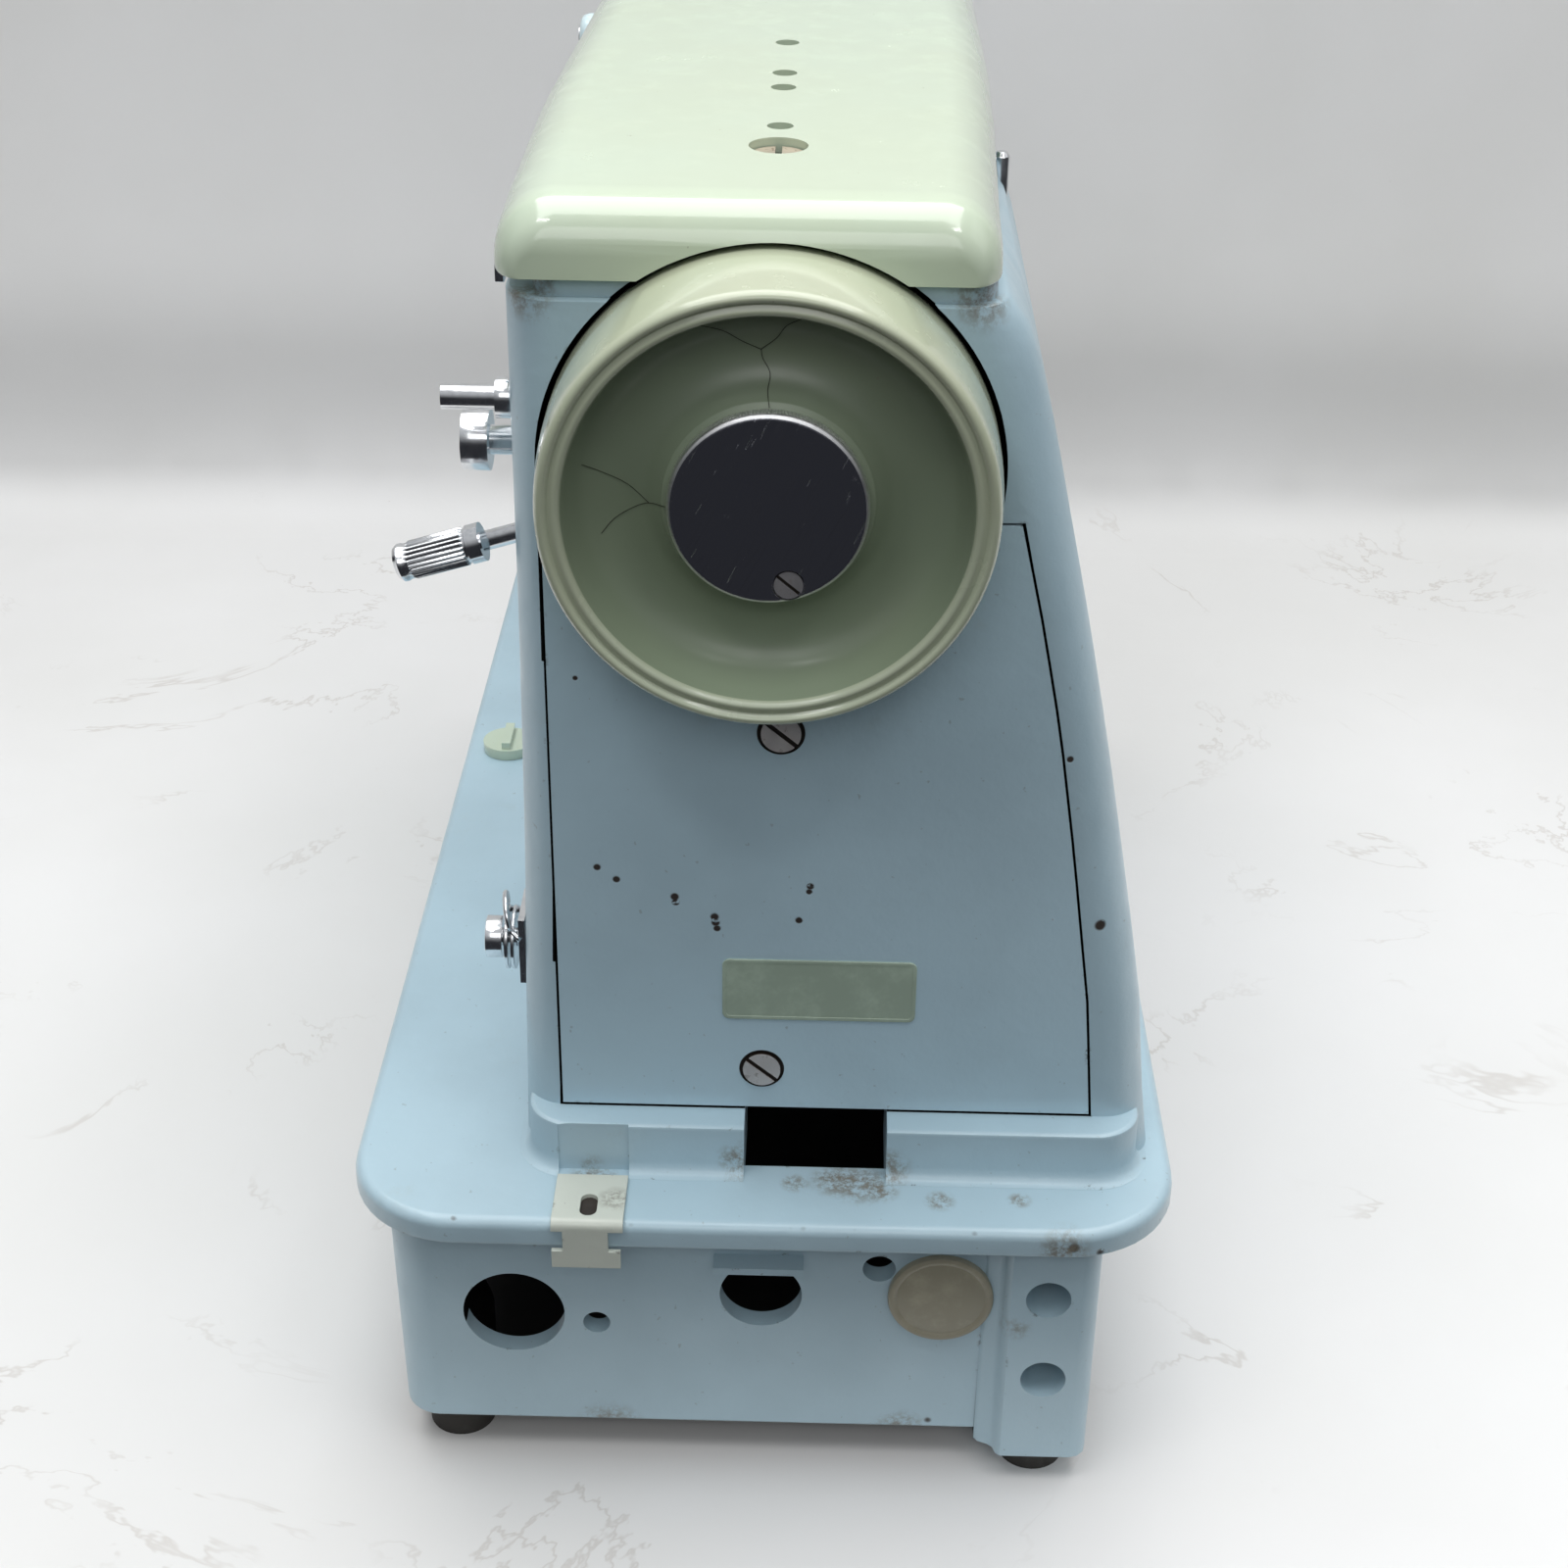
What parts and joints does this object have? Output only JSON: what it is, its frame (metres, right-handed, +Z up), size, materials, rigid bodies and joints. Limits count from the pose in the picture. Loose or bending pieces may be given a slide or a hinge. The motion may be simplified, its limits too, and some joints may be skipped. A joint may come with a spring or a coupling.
{
  "type": "sewing machine",
  "caption": "Flat-bed household sewing machine with cast arm and bed, top cover, handwheel, built-in motor, rotary hook and levers.",
  "frame": {"origin": "middle of the footprint at the height of the table, under the bed's centre", "axes": "+X along the bed to the handwheel end, -Y to the operator, +Z up"},
  "size_m": [0.3712, 0.178, 0.2865],
  "materials": {
    "blue_paint": "semi-gloss stoved enamel, powder blue, lightly textured and chipped",
    "mint_plastic": "glossy moulded plastic, pale mint",
    "sage_plastic": "glossy moulded plastic, yellowed sage green with fine cracks",
    "chrome": "polished, lightly scratched",
    "steel": "machined",
    "bronze": "sintered bronze",
    "black_iron": "black enamel",
    "rubber": "matt, dusty",
    "belt_rubber": "matt",
    "beige_plastic": "satin moulded plastic",
    "ivory_metal": "satin off-white enamel on sheet steel",
    "plate_foil": "anodised, pale yellow-green",
    "pale_plastic": "glossy moulded plastic, pale blue",
    "dark_plastic": "black moulded plastic"
  },
  "bodies": {
    "root": {"bed_casting": "blue_paint", "arm_casting": "blue_paint", "top_cover": "mint_plastic", "cover_screw": "steel", "end_panel": "blue_paint", "end_panel_screws": "chrome", "rating_plate": "plate_foil", "face_plate": "blue_paint", "face_plate_screw": "chrome", "needle_plate": "chrome", "needle_plate_screws": "steel", "rubber_feet": "rubber", "bed_clip": "ivory_metal", "blanking_plug": "beige_plastic", "main_shaft_bushes": "bronze", "vertical_shaft_bushes": "bronze", "hook_shaft_bushes": "bronze", "bar_bushes": "bronze", "motor_body": "black_iron", "motor_bracket": "black_iron", "drive_belt": "belt_rubber", "tension_post": "chrome", "tension_discs": "chrome", "thread_guides": "chrome", "winder_tension_bracket": "chrome", "winder_tension_discs": "chrome", "presser_spring": "steel", "bobbin_case": "steel"},
    "main_shaft": {"main_shaft": "steel", "main_shaft_gear": "steel", "needle_crank": "steel", "drive_pulley": "steel", "handwheel": "sage_plastic"},
    "stop_motion": {"stop_motion_knob": "chrome", "stop_motion_screw": "steel"},
    "vertical_shaft": {"vertical_shaft": "steel", "vertical_shaft_gears": "steel"},
    "hook": {"hook_shaft": "steel", "hook_shaft_gear": "steel", "rotary_hook": "chrome"},
    "bobbin": {"bobbin": "chrome"},
    "motor_rotor": {"motor_pulley": "steel"},
    "needle_bar": {"needle_bar": "chrome", "needle_bar_link": "steel", "needle_clamp": "chrome", "needle": "steel"},
    "take_up_lever": {"take_up_lever": "chrome"},
    "presser_lifter": {"presser_lifter": "chrome"},
    "presser_bar": {"presser_bar": "chrome", "presser_foot": "chrome"},
    "feed_dog": {"feed_dog": "steel"},
    "tension_dial": {"tension_dial": "pale_plastic"},
    "stitch_length_lever": {"stitch_length_lever": "chrome", "stitch_length_grip": "chrome"},
    "stitch_width_lever": {"stitch_width_lever": "chrome"},
    "winder_spindle": {"winder_spindle": "chrome"},
    "winder_stop": {"winder_stop_knob": "chrome"},
    "spool_pin": {"spool_pin": "chrome"},
    "slide_plate": {"slide_plate": "chrome"},
    "feed_drop_knob": {"feed_drop_knob": "mint_plastic"}
  },
  "joints": [
    {"name": "handwheel_turn", "type": "hinge", "parent": "root", "child": "main_shaft", "pos_m": [0, 0, 0.2357], "axis": [1, 0, 0], "continuous": true},
    {"name": "stop_motion_turn", "type": "hinge", "parent": "main_shaft", "child": "stop_motion", "pos_m": [0.172, 0, 0.2357], "axis": [1, 0, 0], "range_deg": [-90, 0]},
    {"name": "vertical_shaft_turn", "type": "hinge", "parent": "root", "child": "vertical_shaft", "pos_m": [0.056, 0, 0.15], "axis": [0, 0, 1], "continuous": true},
    {"name": "hook_turn", "type": "hinge", "parent": "root", "child": "hook", "pos_m": [0, 0, 0.046], "axis": [1, 0, 0], "continuous": true},
    {"name": "bobbin_turn", "type": "hinge", "parent": "root", "child": "bobbin", "pos_m": [-0.13, 0, 0.046], "axis": [1, 0, 0], "continuous": true},
    {"name": "motor_turn", "type": "hinge", "parent": "root", "child": "motor_rotor", "pos_m": [0.1, 0.004, 0.124], "axis": [1, 0, 0], "continuous": true},
    {"name": "needle_bar_slide", "type": "slide", "parent": "root", "child": "needle_bar", "axis": [0, 0, 1], "range_m": [-0.03, 0]},
    {"name": "take_up_swing", "type": "hinge", "parent": "root", "child": "take_up_lever", "pos_m": [-0.149, -0.022, 0.205], "axis": [1, 0, 0], "range_deg": [-18, 18]},
    {"name": "presser_lifter_turn", "type": "hinge", "parent": "root", "child": "presser_lifter", "pos_m": [-0.14, 0.04, 0.166], "axis": [0, -1, 0], "range_deg": [0, 85]},
    {"name": "presser_bar_slide", "type": "slide", "parent": "root", "child": "presser_bar", "axis": [0, 0, 1], "range_m": [0, 0.0061]},
    {"name": "feed_dog_slide", "type": "slide", "parent": "root", "child": "feed_dog", "axis": [0, 1, 0], "range_m": [-0.002, 0.002]},
    {"name": "tension_dial_turn", "type": "hinge", "parent": "root", "child": "tension_dial", "pos_m": [-0.118, -0.055, 0.251], "axis": [0, 1, 0], "range_deg": [-170, 170]},
    {"name": "stitch_length_swing", "type": "hinge", "parent": "root", "child": "stitch_length_lever", "pos_m": [0.135, -0.03, 0.218], "axis": [1, 0, 0], "range_deg": [-16, 16]},
    {"name": "stitch_width_slide", "type": "slide", "parent": "root", "child": "stitch_width_lever", "axis": [1, 0, 0], "range_m": [-0.008, 0.008]},
    {"name": "winder_turn", "type": "hinge", "parent": "root", "child": "winder_spindle", "pos_m": [0.14, -0.05, 0.242], "axis": [0, 1, 0], "continuous": true},
    {"name": "winder_stop_push", "type": "slide", "parent": "root", "child": "winder_stop", "axis": [0, 1, 0], "range_m": [0, 0.003], "stiffness_N_per_m": 400},
    {"name": "spool_pin_slide", "type": "slide", "parent": "root", "child": "spool_pin", "axis": [0, 0, 1], "range_m": [0, 0.035]},
    {"name": "slide_plate_slide", "type": "slide", "parent": "root", "child": "slide_plate", "axis": [-1, 0, 0], "range_m": [0, 0.022]},
    {"name": "feed_drop_turn", "type": "hinge", "parent": "root", "child": "feed_drop_knob", "pos_m": [-0.02, -0.077, 0.076], "axis": [0, 0, 1], "range_deg": [0, 90]}
  ],
  "couplings": [
    {"joint": "vertical_shaft_turn", "follows": "handwheel_turn", "ratio": 1},
    {"joint": "hook_turn", "follows": "handwheel_turn", "ratio": 1},
    {"joint": "motor_turn", "follows": "handwheel_turn", "ratio": 2.798},
    {"joint": "presser_bar_slide", "follows": "presser_lifter_turn", "m_per_rad": 0.0040444}
  ]
}
